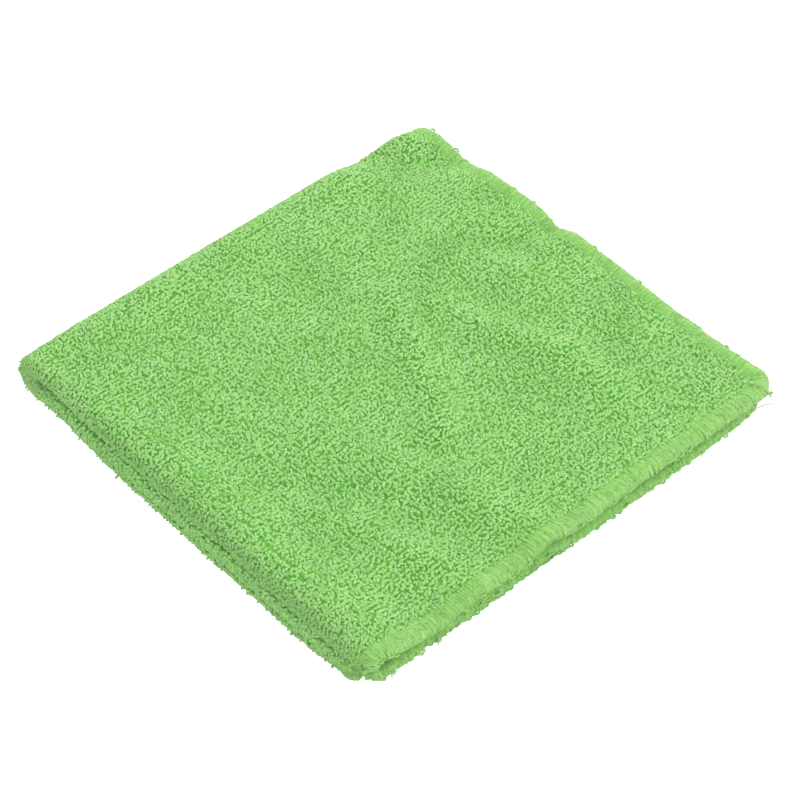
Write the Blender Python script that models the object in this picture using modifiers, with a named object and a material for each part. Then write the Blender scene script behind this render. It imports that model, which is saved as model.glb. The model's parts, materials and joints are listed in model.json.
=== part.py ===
"""A square microfibre terry cloth, folded in quarters.

The cloth is one sheet, 300 mm square. It is folded in half, so that two layers meet at a
rolled edge on the -Y side, and the pair is folded in half again, so that it wraps over
itself on the -X side. Four layers then lie on each other, a little apart. The hems run
along the +X and +Y sides, and the lower pair's hem lies behind the upper pair's.

Metres, +Z up, the origin at the middle of the underside. The cloth rests on z = 0.
"""

from math import cos, exp, pi, radians, sin, sqrt

import bmesh
import bpy

MM = 0.001

# The folded cloth, measured over its pile.
FOLDED_X = 152.0 * MM
FOLDED_Y = 150.6 * MM
SHEET = 3.4 * MM  # one layer with the pile on both of its faces
HEM_SHARE = 0.72  # of that thickness is left where the edge is sewn flat
HEM_WIDTH = 5.0 * MM
HEM_ROUND = 0.9 * MM
CORNER_RADIUS = 6.0 * MM

# How the layers lie apart.
PAIR_GAP = 0.7 * MM  # between the two layers that meet at the first fold
STACK_GAP = 0.8 * MM  # between the two pairs
LOWER_SETBACK = 5.5 * MM  # the lower pair's hem behind the upper pair's

# The folds are rolled rounder than the layers behind them. This is how far behind a fold
# the layers lie level.
FIRST_NECK = 15.0 * MM
SECOND_NECK = 16.0 * MM

# Steps across the sheet: (round half a fold, along an outer layer, along a hidden one).
FIRST_STEPS = (5, 23, 10)
SECOND_STEPS = (6, 24, 12)

# Soft ridges (+) and troughs (-) on the folded cloth, in millimetres: from (X0, Y0) to
# (X1, Y1), REACH to each side, RISE at the top layer. DEEP is the power of a layer's
# height by which the rise fades, so 1 moves the whole stack and 4 hardly more than the
# top layer. Where creases meet, the highest ridge and the deepest trough count.
CREASES = (
    # X0, Y0, X1, Y1, REACH, RISE, DEEP
    (-30, -56, 36, -57, 7.0, -0.9, 1),
    (2, -32, 24, -27, 6.5, 1.0, 1),
    (24, -27, 44, -19, 6.5, 1.7, 1),
    (44, -19, 75, -11, 6.0, 2.0, 1),
    (38, -45, 70, -36, 5.0, 1.2, 1),
    (16, -47, 52, -31, 6.0, -1.0, 1),
    (56, -54, 74, -50, 5.0, -0.8, 1),
    (-22, 17, -4, 9, 6.0, 1.5, 1),
    (-4, 9, 26, -8, 6.0, 1.9, 1),
    (-10, 24, 4, 28, 6.0, 1.4, 1),
    (4, 28, 26, 37, 6.0, 2.0, 1),
    (26, 37, 46, 38, 6.5, 1.4, 1),
    (-22, 40, -5, 49, 6.5, 1.3, 1),
    (-72, 50, -59, 59, 6.5, -1.7, 1),
    (-59, 59, -50, 76, 6.0, -2.0, 1),
    (-14, 58, -13, 76, 4.5, -1.5, 2),
    (-3, 58, -3, 76, 5.0, 0.8, 2),
    (-70, 75, -64, 76, 8.0, -0.7, 2),
    (26, 72, 44, 73, 9.0, -0.4, 2),
    (71, 8, 70, 56, 8.0, 0.9, 2),
    (73, 71, 74, 74, 9.0, 0.7, 4),
)

# The first fold, along the -Y side, in millimetres by the place along it: how far it lies
# inside the folded size, and its radius to the middle of the sheet.
FIRST_FOLD = (
    # X, LOWER, UPPER, RADIUS
    (-76, 0.2, 0.6, 2.1),
    (-66, 0.8, 1.6, 2.2),
    (-54, 0.9, 1.6, 2.3),
    (-40, 0.7, 1.0, 2.5),
    (-25, 0.4, 0.7, 2.6),
    (5, 0.2, 0.5, 2.6),
    (32, 0.0, 0.4, 2.6),
    (54, 0.2, 0.5, 2.6),
    (72, 1.2, 0.7, 2.6),
)

# The second fold, along the -X side: how far it lies inside the folded size, and how far
# its radius exceeds half the distance between the two pairs.
SECOND_FOLD = (
    # Y, INSET, SWELL
    (-75, 0.0, 0.4),
    (-62, 0.0, 0.6),
    (-30, 0.0, 0.6),
    (45, 0.2, 0.6),
    (64, 0.8, 0.3),
    (75, 2.1, 0.0),
)

# How far each hem lies inside the folded size, in millimetres, by the place along it.
UPPER_HEMS_X = (
    # Y, OUTER, INNER
    (-75, 1.5, 0.6),
    (-67, 0.6, 0.0),
    (-58, 0.6, 1.2),
    (-46, 0.6, 1.5),
    (-22, 0.6, 1.3),
    (8, 0.6, 0.8),
    (26, 1.1, 0.5),
    (42, 0.8, 0.2),
    (58, 0.9, 1.5),
    (75, 1.6, 1.3),
)
LOWER_HEMS_X = (
    # Y, OUTER, INNER
    (-75, 3.0, 2.4),
    (-50, 0.6, 1.1),
    (0, 1.0, 0.7),
    (40, 0.7, 1.3),
    (75, 1.7, 0.9),
)
UPPER_HEMS_Y = (
    # X, OUTER, INNER
    (-75, 0.7, 1.9),
    (-52, 0.4, 1.2),
    (-31, 0.0, 0.8),
    (-12, 0.5, 1.0),
    (8, 0.0, 1.4),
    (34, 0.6, 0.9),
    (52, 0.6, 1.5),
    (70, 0.2, 1.8),
)
LOWER_HEMS_Y = (
    # X, OUTER, INNER
    (-75, 1.4, 2.2),
    (-20, 0.8, 1.6),
    (30, 1.2, 2.0),
    (70, 0.6, 1.4),
)


def ease(t):
    """0 at t = 0, 1 at t = 1, level at both ends."""
    t = min(max(t, 0.0), 1.0)
    return t * t * (3 - 2 * t)


def along(table, place, column):
    """The table's value at this place in millimetres, eased between its rows, in metres."""
    for row, after in zip(table, table[1:]):
        if place <= after[0]:
            share = ease((place - row[0]) / (after[0] - row[0]))
            return (row[column] + (after[column] - row[column]) * share) * MM
    return table[-1][column] * MM


def fold_stations(steps):
    """Places across the sheet as (turn, share), from the hidden or lower hem to the other.

    turn goes from -1 to 1 round the fold, and share from 0 at the fold to 1 at the hem.
    The steps are shorter near the fold and near the hem.
    """
    round_fold, outer, hidden = steps
    runs = {}
    for side, count in ((-1, hidden), (1, outer)):
        parts = [k / count for k in range(1, count + 1)]
        runs[side] = [(side, 0.55 * t + 0.225 * (1 - cos(pi * t))) for t in parts]
    bend = [(k / round_fold, 0.0) for k in range(-round_fold, round_fold + 1)]
    return runs[-1][::-1] + bend + runs[1]


def half_pair(radius, run):
    """Half the distance between a pair's two layers, this far behind the first fold."""
    level = (SHEET + PAIR_GAP) / 2
    return level + (radius - level) * (1 - ease(run / FIRST_NECK))


def rounded(from_x_hem, from_y_hem):
    """Both distances from the hems, changed so that the corner between them is round."""
    if max(from_x_hem, from_y_hem) >= CORNER_RADIUS:
        return from_x_hem, from_y_hem
    a = 1 - from_x_hem / CORNER_RADIUS
    b = 1 - from_y_hem / CORNER_RADIUS
    a, b = a * sqrt(1 - b * b / 2), b * sqrt(1 - a * a / 2)
    return (1 - a) * CORNER_RADIUS, (1 - b) * CORNER_RADIUS


def rise(x, y, height):
    """How far the creases lift the cloth here. height is 0 at the lowest layer, 1 on top."""
    ridge, trough = 0.0, 0.0
    for x0, y0, x1, y1, reach, lift, deep in CREASES:
        dx, dy = x1 - x0, y1 - y0
        px, py = x / MM - x0, y / MM - y0
        share = min(max((px * dx + py * dy) / (dx * dx + dy * dy), 0.0), 1.0)
        off = (px - share * dx) ** 2 + (py - share * dy) ** 2
        lift *= exp(-off / reach**2) * height**deep
        ridge, trough = max(ridge, lift), min(trough, lift)
    return (ridge + trough) * MM


def folded(second, first):
    """Where a point of the flat sheet's middle lies once both folds are made."""
    second_turn, second_share = second
    first_turn, first_share = first
    upper, outer = second_turn > 0, first_turn > 0
    lift = (second_turn + 1) / 2  # 0 in the lower pair, 1 in the upper one
    place_x = FOLDED_X / MM * (second_share - 0.5)
    place_y = FOLDED_Y / MM * (first_share - 0.5)

    # Along Y: round the first fold, then along the layer to the hem.
    bend = along(FIRST_FOLD, place_x, 3)
    inset_low, inset_high = along(FIRST_FOLD, place_x, 1), along(FIRST_FOLD, place_x, 2)
    fold_y = -FOLDED_Y / 2 + SHEET / 2 + bend + inset_low + (inset_high - inset_low) * lift
    length_y = FOLDED_Y / 2 - fold_y
    y = fold_y - bend * cos(first_turn * pi / 2) + first_share * length_y
    half = half_pair(bend, first_share * length_y)
    across = half * sin(first_turn * pi / 2)

    # Along X: round the second fold, then along the pair to the hem.
    swell = along(SECOND_FOLD, place_y, 2)
    apart = 2 * half + SHEET + STACK_GAP
    radius = apart / 2 + swell
    fold_x = -FOLDED_X / 2 + along(SECOND_FOLD, place_y, 1) + radius + half + SHEET / 2
    length_x = FOLDED_X / 2 - fold_x
    x = fold_x + second_share * length_x

    # The hems, uneven as they lie, and the rounded corner between them.
    if second_share > 0 and first_share > 0:
        to_x, to_y = (1 - second_share) * length_x, (1 - first_share) * length_y
        to_x, to_y = rounded(to_x, to_y)
        x, y = FOLDED_X / 2 - to_x, FOLDED_Y / 2 - to_y
    column = 1 if outer else 2
    inset_x = along(UPPER_HEMS_X if upper else LOWER_HEMS_X, place_y, column)
    inset_y = along(UPPER_HEMS_Y if upper else LOWER_HEMS_Y, place_x, column)
    if not upper:
        inset_x += LOWER_SETBACK
    x -= inset_x * second_share**2
    y -= inset_y * first_share**2

    # Up the stack: the underside stays level on z = 0.
    lower_z = SHEET / 2 + half
    if abs(second_turn) < 1:
        angle = second_turn * pi / 2
        x -= (radius + across) * cos(angle)
        z = lower_z + radius + (radius + across) * sin(angle)
    elif upper:
        puff = swell * (1 - ease(second_share * length_x / SECOND_NECK))
        z = lower_z + apart + 2 * puff + across
    else:
        z = lower_z - across
    stack = 2 * apart - STACK_GAP
    height = min(max((z - SHEET / 2) / (stack - SHEET), 0.0), 1.0)
    return x, y, z + rise(x, y, height)


def fabric(name, colour, roughness):
    """A plain cloth material."""
    material = bpy.data.materials.new(name)
    material.use_nodes = True
    shader = material.node_tree.nodes["Principled BSDF"]
    shader.inputs["Base Color"].default_value = (*colour, 1.0)
    shader.inputs["Roughness"].default_value = roughness
    shader.inputs["Metallic"].default_value = 0.0
    material.diffuse_color = (*colour, 1.0)
    return material


def cloth(collection):
    """The whole cloth: a grid laid through both folds and thickened to a closed sheet."""
    seconds = fold_stations(SECOND_STEPS)
    firsts = fold_stations(FIRST_STEPS)
    columns, rows = len(seconds) - 1, len(firsts) - 1
    bm = bmesh.new()
    bmesh.ops.create_grid(bm, x_segments=columns, y_segments=rows, size=0.5)
    body = bm.verts.layers.deform.verify()
    for vert in bm.verts:
        second = seconds[round((vert.co.x + 0.5) * columns)]
        first = firsts[round((vert.co.y + 0.5) * rows)]
        vert.co = folded(second, first)
        to_hem = (1 - max(second[1], first[1])) * FOLDED_X
        vert[body][0] = HEM_SHARE + (1 - HEM_SHARE) * ease(to_hem / HEM_WIDTH)
    mesh = bpy.data.meshes.new("cloth")
    bm.to_mesh(mesh)
    bm.free()
    ob = bpy.data.objects.new("cloth", mesh)
    collection.objects.link(ob)
    group = ob.vertex_groups.new(name="thickness")

    solid = ob.modifiers.new("Thickness", "SOLIDIFY")
    solid.thickness = SHEET
    solid.offset = 0.0
    solid.use_even_offset = True
    solid.vertex_group = group.name
    edge = ob.modifiers.new("Sewn edge", "BEVEL")
    edge.width = HEM_ROUND
    edge.segments = 2
    edge.limit_method = "ANGLE"
    edge.angle_limit = radians(50)
    mesh.shade_smooth()
    mesh.materials.append(fabric("green terry", (0.22, 0.58, 0.13), 0.9))
    return ob


def main():
    for ob in list(bpy.data.objects):
        bpy.data.objects.remove(ob, do_unlink=True)
    collection = bpy.data.collections.new("microfibre cloth")
    bpy.context.scene.collection.children.link(collection)
    cloth(collection)


main()
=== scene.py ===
"""Looks of a square microfibre terry cloth, folded in quarters.

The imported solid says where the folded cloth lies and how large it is. Here the cloth is a
thin knitted ground on the same folds, with looped pile standing on it, overlocked hems, a
loose thread end and a few stray loops. Lengths inside the script are millimetres, and each
finished mesh is scaled to metres.
"""

import json
from math import copysign, cos, exp, pi, radians, sin, sqrt, tau
from random import Random

import bmesh
import bpy
from bpy.props import FloatProperty, FloatVectorProperty, IntProperty, PointerProperty
from mathutils import Matrix, Vector, noise

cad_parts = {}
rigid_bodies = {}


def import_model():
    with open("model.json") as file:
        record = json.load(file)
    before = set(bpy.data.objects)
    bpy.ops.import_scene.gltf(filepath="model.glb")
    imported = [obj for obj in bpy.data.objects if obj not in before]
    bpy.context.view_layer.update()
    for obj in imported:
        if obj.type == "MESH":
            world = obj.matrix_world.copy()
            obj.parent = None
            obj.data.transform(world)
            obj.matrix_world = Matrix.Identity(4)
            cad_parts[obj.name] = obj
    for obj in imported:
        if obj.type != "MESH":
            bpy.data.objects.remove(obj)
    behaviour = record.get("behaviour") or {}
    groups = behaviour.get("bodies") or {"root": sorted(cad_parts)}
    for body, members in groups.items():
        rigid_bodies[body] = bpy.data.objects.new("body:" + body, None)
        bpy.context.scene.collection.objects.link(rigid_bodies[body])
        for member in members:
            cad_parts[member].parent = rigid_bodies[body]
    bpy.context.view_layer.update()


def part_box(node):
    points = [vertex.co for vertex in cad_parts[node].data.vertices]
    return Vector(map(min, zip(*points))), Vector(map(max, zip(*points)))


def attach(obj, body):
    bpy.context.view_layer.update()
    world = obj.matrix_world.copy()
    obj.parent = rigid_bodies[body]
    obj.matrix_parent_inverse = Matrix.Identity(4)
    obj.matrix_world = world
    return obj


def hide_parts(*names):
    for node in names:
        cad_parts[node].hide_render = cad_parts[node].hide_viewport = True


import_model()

bl_info = {
    "name": "Folded terry cloth",
    "version": (1, 0, 0),
    "blender": (4, 5, 0),
    "location": "3D View > Sidebar > Terry cloth",
    "description": "Dresses a terry cloth folded in quarters",
    "category": "Object",
}

MM = 0.001
UV_MAP = "OFBake"  # the map that the materials read: one column for each yarn tone
TONES = 48
SEWN = "sewn"  # vertex attribute of the ground: 1 under the sewing, 0 under the pile

# The folded cloth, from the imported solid.
CLOTH_LOW, CLOTH_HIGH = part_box("cloth")
FOLDED_X = (CLOTH_HIGH.x - CLOTH_LOW.x) / MM
FOLDED_Y = (CLOTH_HIGH.y - CLOTH_LOW.y) / MM

SHEET = 3.4  # one layer, measured over the pile on both of its faces
LAYER_RUN = 144.0  # from a fold to the hem, along a layer
CORNER_RADIUS = 6.0
PAIR_GAP = 0.7  # between the two layers that meet at the first fold
STACK_GAP = 0.8  # between the two pairs
LOWER_SETBACK = 5.5  # the lower pair's hem behind the upper pair's
FIRST_NECK = 15.0  # behind each fold, the run over which the layers come to lie level
SECOND_NECK = 16.0
FOLDED_TOP = 12.0  # above this height lies the top layer

# Steps of the ground's grid and of the hem lines, for the second and the first fold: round
# the fold, and from it to the hem.
GROUND_STEPS = (12, 50), (8, 50)
HEM_STEPS = (36, 120), (24, 120)

# Soft ridges (+) and troughs (-): from (X0, Y0) to (X1, Y1), REACH to each side, RISE at
# the top layer. DEEP is the power of a layer's height by which the rise fades.
CREASES = (
    # X0, Y0, X1, Y1, REACH, RISE, DEEP
    (-30, -56, 36, -57, 7.0, -1.1, 1),
    (2, -32, 24, -27, 6.5, 1.3, 1),
    (24, -27, 44, -19, 6.5, 2.1, 1),
    (44, -19, 75, -11, 6.0, 2.5, 1),
    (38, -45, 70, -36, 5.0, 1.5, 1),
    (16, -47, 52, -31, 6.0, -1.3, 1),
    (56, -54, 74, -50, 5.0, -0.9, 1),
    (-22, 17, -4, 9, 6.0, 2.1, 1),
    (-4, 9, 26, -8, 6.0, 2.7, 1),
    (-10, 24, 4, 28, 6.0, 1.9, 1),
    (4, 28, 26, 37, 6.0, 2.8, 1),
    (26, 37, 46, 38, 6.5, 1.9, 1),
    (-22, 40, -5, 49, 6.5, 1.8, 1),
    (-72, 50, -59, 59, 6.5, -2.5, 1),
    (-59, 59, -50, 76, 6.0, -2.8, 1),
    (-14, 58, -13, 76, 4.5, -2.2, 2),
    (-3, 58, -3, 76, 5.0, 0.9, 2),
    (-70, 75, -64, 76, 8.0, -0.7, 2),
    (26, 72, 44, 73, 9.0, -0.4, 2),
    (71, 8, 70, 56, 8.0, 0.9, 2),
    (73, 71, 74, 74, 9.0, 0.7, 4),
)

# The first fold by the place along it: how far it lies inside the folded size in the
# lower and the upper pair, its radius to the middle of the sheet, the power of its section
# (1 is round, less is squarer), the gap between the two pairs there, and how much wider
# the upper pair's top bends down.
FIRST_FOLD = (
    # X, LOWER, UPPER, RADIUS, POWER, GAP, ROLL
    (-76, 1.5, 0.6, 1.5, 1.0, 2.6, 0.0),
    (-72, 1.8, 1.0, 1.5, 1.0, 2.8, 0.3),
    (-67, 1.7, 1.6, 1.95, 1.0, 1.1, 1.0),
    (-61, 1.4, 1.7, 2.2, 0.95, 0.2, 1.8),
    (-54, 0.7, 1.7, 2.5, 0.9, -0.4, 2.2),
    (-42, 0.2, 1.4, 3.0, 0.70, -0.9, 2.6),
    (-30, 0.0, 1.1, 3.1, 0.60, -1.3, 3.0),
    (-16, 0.1, 1.4, 3.1, 0.60, -1.3, 3.0),
    (-2, 0.0, 1.0, 3.1, 0.60, -1.3, 3.0),
    (14, 0.0, 1.3, 3.1, 0.60, -1.3, 2.5),
    (32, 0.1, 0.9, 3.1, 0.58, -1.5, 1.5),
    (54, 0.0, 0.9, 3.1, 0.58, -1.4, 0.8),
    (72, 1.0, 0.9, 2.5, 0.75, 0.5, 0.4),
)

# The second fold: how far it lies inside the folded size, and how far its radius exceeds
# half the distance between the two pairs.
SECOND_FOLD = (
    # Y, INSET, SWELL
    (-75, 0.0, 0.4),
    (-62, 0.0, 0.6),
    (-30, 0.0, 0.6),
    (45, 0.2, 0.6),
    (64, 0.8, 0.3),
    (75, 2.1, 0.0),
)

# How far each hem lies inside the folded size, by the place along it.
UPPER_HEMS_X = (
    # Y, OUTER, INNER
    (-75, 1.9, 0.7),
    (-67, 1.2, 0.8),
    (-58, 1.3, 1.9),
    (-46, 1.3, 2.0),
    (-22, 1.4, 1.6),
    (8, 1.3, 1.1),
    (26, 1.6, 1.0),
    (42, 1.3, 1.0),
    (58, 1.3, 1.4),
    (68, 1.4, 2.3),
    (75, 2.5, 3.7),
)
LOWER_HEMS_X = (
    # Y, OUTER, INNER
    (-75, 4.6, 4.2),
    (-66, 2.2, 1.9),
    (-50, 0.6, 1.1),
    (0, 1.0, 0.7),
    (40, 0.7, 1.3),
    (75, 3.0, 2.6),
)
UPPER_HEMS_Y = (
    # X, OUTER, INNER
    (-75, 0.7, 1.9),
    (-52, 0.4, 1.2),
    (-31, 0.0, 0.8),
    (-12, 0.5, 1.0),
    (8, 0.0, 1.4),
    (34, 0.6, 0.9),
    (52, 0.6, 1.5),
    (70, 0.2, 3.2),
)
LOWER_HEMS_Y = (
    # X, OUTER, INNER
    (-75, 1.4, 2.2),
    (-20, 0.8, 1.6),
    (30, 1.2, 2.0),
    (55, 0.9, 1.8),
    (70, 3.4, 3.6),
)

# Loop forms: SPAN between its feet, RISE to its top, LEAN of the top along the nap, TURN
# of its feet against the nap in degrees, BOW of its middle to one side. The other sets of
# loops below have the same columns.
LOOPS = (
    # SPAN, RISE, LEAN, TURN, BOW
    (0.56, 1.00, 0.30, 20, 0.10),
    (0.48, 1.06, 0.40, -30, -0.10),
    (0.64, 0.92, 0.20, 50, 0.12),
    (0.50, 0.96, 0.36, 80, -0.08),
    (0.44, 1.08, 0.30, -60, 0.08),
    (0.60, 0.94, 0.32, 0, -0.12),
)

# Loops that hang down over the first fold.
HANGING_LOOPS = (
    (1.00, 0.80, 0.45, 80, 0.10),
    (0.90, 0.86, 0.60, 100, -0.12),
    (1.10, 0.74, 0.35, 60, 0.15),
    (0.95, 0.82, 0.65, 95, -0.08),
    (0.85, 0.90, 0.40, 110, 0.10),
    (1.05, 0.76, 0.50, 75, -0.15),
)

# Where the pile stands.
SECOND_BEND = 26.0  # its run round the second fold
FIRST_BEND = 18.0  # round the first fold
GROOVE_RUN = 4.0  # and on from there into the groove between the two rolls
GROOVE = (-62.0, 16.0)  # the groove opens from this X, over this run
GROOVE_TURN = (-0.5, 0.45)  # the turn of the first fold that faces it, and to each side
GROOVE_FROM = {"upper": -0.1, "lower": -0.25}  # its pile is one piece, up to this turn
UNEVEN_END = 1.8  # how unevenly the pile ends at the hems
OVER_FRONT = 2.5  # how much further it reaches over them at the front corner
FRONT = (-48.0, 22.0)  # from this Y, over this run
OVER_BACK = 2.0  # and over the top layer's hem on +Y
SLOT_DEPTHS = (0.3, 1.5, 2.7)  # rows of loops between the hems, behind the sewing
FIRST_FOLD_SIDE = -72.0  # the pile beyond this Y hangs from the first fold
SECOND_FOLD_SIDE = -71.0  # and beyond this X from the second
TOP_A_END, TOP_B_END = -26.0, 24.0  # the X at which the top's pieces meet
PAIRED = {"pile_top_a", "pile_top_b", "pile_top_c", "pile_first_fold", "pile_second_fold"}

# How the pile lies.
SKEW = 0.1  # how far a course climbs along Y for each step along X
COURSE = (4.0, 1.6, 4.0)  # size of a fuller or thinner stretch of the courses
SWIRL = 16.0  # size of the nap's swirls
PATCH = 9.0  # size of the darker and lighter patches
JITTER = (0.2, 0.22, 0.2)  # how unevenly the loops stand
SIZE_SPREAD, RISE_SPREAD, TONE_SPREAD = 0.12, 0.10, 0.08  # from one loop to the next
FOOT_DEPTH = 0.15  # of a loop's feet in the ground
COURSE_RISE = 0.12  # how much taller the fullest courses stand
GROOVE_RISE = 0.8  # how much taller the loops in the groove stand
FOLD_DROOP = 1.2  # how far the loops lean down on the folds
STRAY_SHARE = 0.5  # of the loops under the first fold, pulled longer than the others
STRAY_RISE = (1.1, 2.1)  # how many times as tall they stand
STRAY_TURN = (0.2, 0.3)  # from this turn of the first fold, up to this one of the second
PRESSED_RISE = 0.85  # height of the hidden loops against those that show

# Overlock stitches: SLANT along the hem to each side, REACH of the loop past the edge,
# SWELL of the thread at the edge, SHARE of the stitches that have this form.
STITCHES = (
    # SLANT, REACH, SWELL, SHARE
    (0.15, 0.00, 1.0, 12),
    (0.30, 0.10, 1.0, 10),
    (0.10, 0.20, 0.9, 6),
    (0.40, 0.50, 0.8, 1),
)
THREAD_FLATNESS = 0.2  # thickness of a stitch's thread against its width
# Painted shade: the sewing below the top layer gets darker tones, for the shade it lies in.
SHADED_SEWING = 0.3  # tone of the sewing below the top layer against that on it
HEM_EDGE = 0.9  # thickness of the very edge, inside its sewing
HEM_EASE = 2.0  # run over which the hem thins to the ground
HEM_EASE_UNDER = 1.5  # how much of it lies under the sewing
EDGE_ROUNDING = 0.3
OPEN_CORNER = 66.0  # beyond this X and Y the hems turn round the open corner

# Loops of thread that lock the stitches along the very edge.
SCALLOPS = (
    (1.60, 0.74, 0.10, 0, 0.05),
    (1.40, 0.86, -0.15, 10, -0.08),
    (1.80, 0.66, 0.05, -8, 0.05),
)
SCALLOP_PITCH = 1.5
SCALLOP_THREAD = 0.4  # its thickness against the width of the thread
SCALLOPS_LEFT_OUT = 0.75  # share of them, along the two top hems

# Fine fibres that lie on the sewing.
FIBRES = (
    (1.10, 0.30, 0.10, 0, 0.30),
    (0.70, 0.55, 0.50, 70, 0.20),
    (1.50, 0.25, 0.20, 35, -0.35),
    (0.50, 0.90, 0.70, -50, 0.15),
)
FIBRE = 0.2  # thickness
FIBRE_PITCH = 0.5
FIBRES_ON_EDGE = 0.25  # share of them that stands on the very edge

# Tufts of fibres pulled out of the hems.
TUFTS = (
    (74.9, -52.3, 9.6),
    (74.9, -57.5, 9.4),
    (74.6, -67.6, 9.2),
    (72.4, 73.8, 11.0),
)
TUFT_FIBRES = 6

# The loose end of a sewing thread at the open corner.
THREAD_END = (
    (72.0, 65.6, 10.2),
    (73.4, 66.9, 10.2),
    (74.0, 68.3, 10.5),
    (74.8, 69.4, 11.2),
    (75.6, 70.5, 11.6),
    (76.4, 71.6, 11.4),
    (77.4, 72.7, 10.8),
)
THREAD_END_WIDTH = 0.5
THREAD_TIP = 0.35  # width of its tip against the rest

# Yarns: TWIST is the turns of the strands along a loop, DEPTH the power by which the root's
# colour, a painted shade, fades up the loop, LINT how much specks of lint change the tone.
YARNS = {
    # TWIST, DEPTH, ROUGHNESS, SHEEN, BUMP, LINT
    "pile yarn": (5.0, 0.35, 0.85, 0.05, 0.2, 0.3),
    # painted shade for the slots between the hems
    "pressed pile yarn": (5.0, 0.3, 0.85, 0.05, 0.2, 0.3),
    # painted light: less of the root's painted shade in the groove between the rolls
    "creased pile yarn": (5.0, 0.1, 0.85, 0.05, 0.2, 0.3),
    "sewing thread": (14.0, 0.3, 0.8, 0.1, 0.4, 0.6),
    "loose thread": (30.0, 0.3, 0.6, 0.25, 0.6, 0.3),
}

# The stage, in metres and watts.
LAMPS = (
    # NAME, PLACE, SIZE, POWER
    ("key", (-0.55, 0.95, 1.25), 1.1, 8.0),
    ("fill", (1.4, -0.1, 0.6), 1.2, 8.0),
)
SKY_LIGHT = 1.08
FLOOR_REACH = 3.0  # from its middle to each side
SENSOR = 36.0  # millimetres


# ---- the folded sheet


def ease(t):
    """0 at t = 0, 1 at t = 1, level at both ends."""
    t = min(max(t, 0.0), 1.0)
    return t * t * (3 - 2 * t)


def along(table, place, column):
    """The table's value at this place, eased between its rows."""
    for row, after in zip(table, table[1:]):
        if place <= after[0]:
            share = ease((place - row[0]) / (after[0] - row[0]))
            return row[column] + (after[column] - row[column]) * share
    return table[-1][column]


def half_pair(radius, run):
    """Half the distance between a pair's two layers, this far behind the first fold."""
    level = (SHEET + PAIR_GAP) / 2
    return level + (radius - level) * (1 - ease(run / FIRST_NECK))


def rounded(from_x_hem, from_y_hem):
    """Both distances from the hems, changed so that the corner between them is round."""
    if max(from_x_hem, from_y_hem) >= CORNER_RADIUS:
        return from_x_hem, from_y_hem
    a = 1 - from_x_hem / CORNER_RADIUS
    b = 1 - from_y_hem / CORNER_RADIUS
    a, b = a * sqrt(1 - b * b / 2), b * sqrt(1 - a * a / 2)
    return (1 - a) * CORNER_RADIUS, (1 - b) * CORNER_RADIUS


def crease_rise(x, y, height):
    """How far the creases lift the cloth here. height is 0 at the lowest layer, 1 on top."""
    ridge, trough = 0.0, 0.0
    for x0, y0, x1, y1, reach, lift, deep in CREASES:
        dx, dy = x1 - x0, y1 - y0
        px, py = x - x0, y - y0
        share = min(max((px * dx + py * dy) / (dx * dx + dy * dy), 0.0), 1.0)
        off = (px - share * dx) ** 2 + (py - share * dy) ** 2
        lift *= exp(-off / reach**2) * height**deep
        ridge, trough = max(ridge, lift), min(trough, lift)
    return ridge + trough


def folded(second, first):
    """Where a point of the flat sheet's middle lies once both folds are made.

    Each of second and first is (turn, share): turn goes from -1 to 1 round that fold, and
    share from 0 at the fold to 1 at the hem.
    """
    second_turn, second_share = second
    first_turn, first_share = first
    upper, outer = second_turn > 0, first_turn > 0
    lift = (second_turn + 1) / 2
    place_x = FOLDED_X * (second_share - 0.5)
    place_y = FOLDED_Y * (first_share - 0.5)

    # Along Y: round the first fold, then along the layer to the hem.
    bend = along(FIRST_FOLD, place_x, 3)
    inset_low, inset_high = along(FIRST_FOLD, place_x, 1), along(FIRST_FOLD, place_x, 2)
    fold_y = -FOLDED_Y / 2 + SHEET / 2 + bend + inset_low + (inset_high - inset_low) * lift
    length_y = FOLDED_Y / 2 - fold_y
    power, angle = along(FIRST_FOLD, place_x, 4), abs(first_turn) * pi / 2
    if outer and upper:
        power = (1 + power) / 2
    roll = along(FIRST_FOLD, place_x, 6) * lift if outer else 0.0
    y = fold_y - bend + (bend + roll) * (1 - max(cos(angle), 0.0) ** power)
    y += first_share * (length_y - roll)
    half = half_pair(bend, first_share * length_y)
    across = copysign(half * sin(angle) ** power, first_turn)
    level = ease(first_share * length_y / FIRST_NECK)
    gap = along(FIRST_FOLD, place_x, 5)
    gap += (STACK_GAP - gap) * level

    # Along X: round the second fold, then along the pair to the hem.
    swell = along(SECOND_FOLD, place_y, 2)
    apart = 2 * half + SHEET + gap
    radius = apart / 2 + swell
    fold_x = -FOLDED_X / 2 + along(SECOND_FOLD, place_y, 1) + radius + half + SHEET / 2
    length_x = FOLDED_X / 2 - fold_x
    x = fold_x + second_share * length_x

    # The hems, uneven as they lie, and the rounded corner between them.
    if second_share > 0 and first_share > 0:
        to_x, to_y = (1 - second_share) * length_x, (1 - first_share) * length_y
        to_x, to_y = rounded(to_x, to_y)
        x, y = FOLDED_X / 2 - to_x, FOLDED_Y / 2 - to_y
    column = 1 if outer else 2
    inset_x = along(UPPER_HEMS_X if upper else LOWER_HEMS_X, place_y, column)
    inset_y = along(UPPER_HEMS_Y if upper else LOWER_HEMS_Y, place_x, column)
    if not upper:
        inset_x += LOWER_SETBACK
    x -= inset_x * second_share**2
    y -= inset_y * first_share**2

    # Up the stack: the underside stays level.
    lower_z = SHEET / 2 + half
    if abs(second_turn) < 1:
        angle = second_turn * pi / 2
        x -= (radius + across) * cos(angle)
        z = lower_z + radius + (radius + across) * sin(angle)
    elif upper:
        puff = swell * (1 - ease(second_share * length_x / SECOND_NECK))
        z = lower_z + apart + 2 * puff + across
    else:
        z = lower_z - across
    stack = 2 * apart - gap
    height = min(max((z - SHEET / 2) / (stack - SHEET), 0.0), 1.0)
    return Vector((x, y, z + crease_rise(x, y, height)))


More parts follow.
